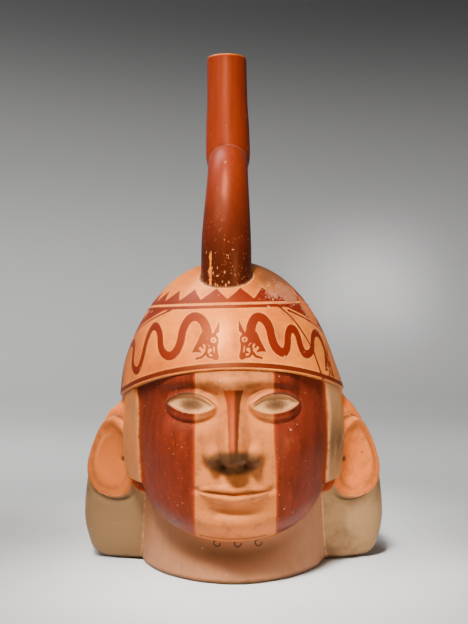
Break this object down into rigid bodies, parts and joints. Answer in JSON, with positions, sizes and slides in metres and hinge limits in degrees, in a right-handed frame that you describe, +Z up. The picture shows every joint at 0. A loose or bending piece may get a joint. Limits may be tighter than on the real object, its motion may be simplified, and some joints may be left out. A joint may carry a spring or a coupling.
{
  "type": "portrait head bottle",
  "caption": "Hollow fired-clay bottle in the form of a head in a wrapped cap and headcloth, with a stirrup handle that carries an open spout.",
  "frame": {"origin": "on the flat underside, on the upright axis of the head", "axes": "+Z up to the spout's rim, -Y the way the face looks, +X to the viewer's right"},
  "size_m": [0.1908, 0.193, 0.32],
  "materials": {
    "fired_clay": "burnished slip over fired clay, satin"
  },
  "bodies": {
    "root": {"head_bottle": "fired_clay"}
  },
  "joints": []
}
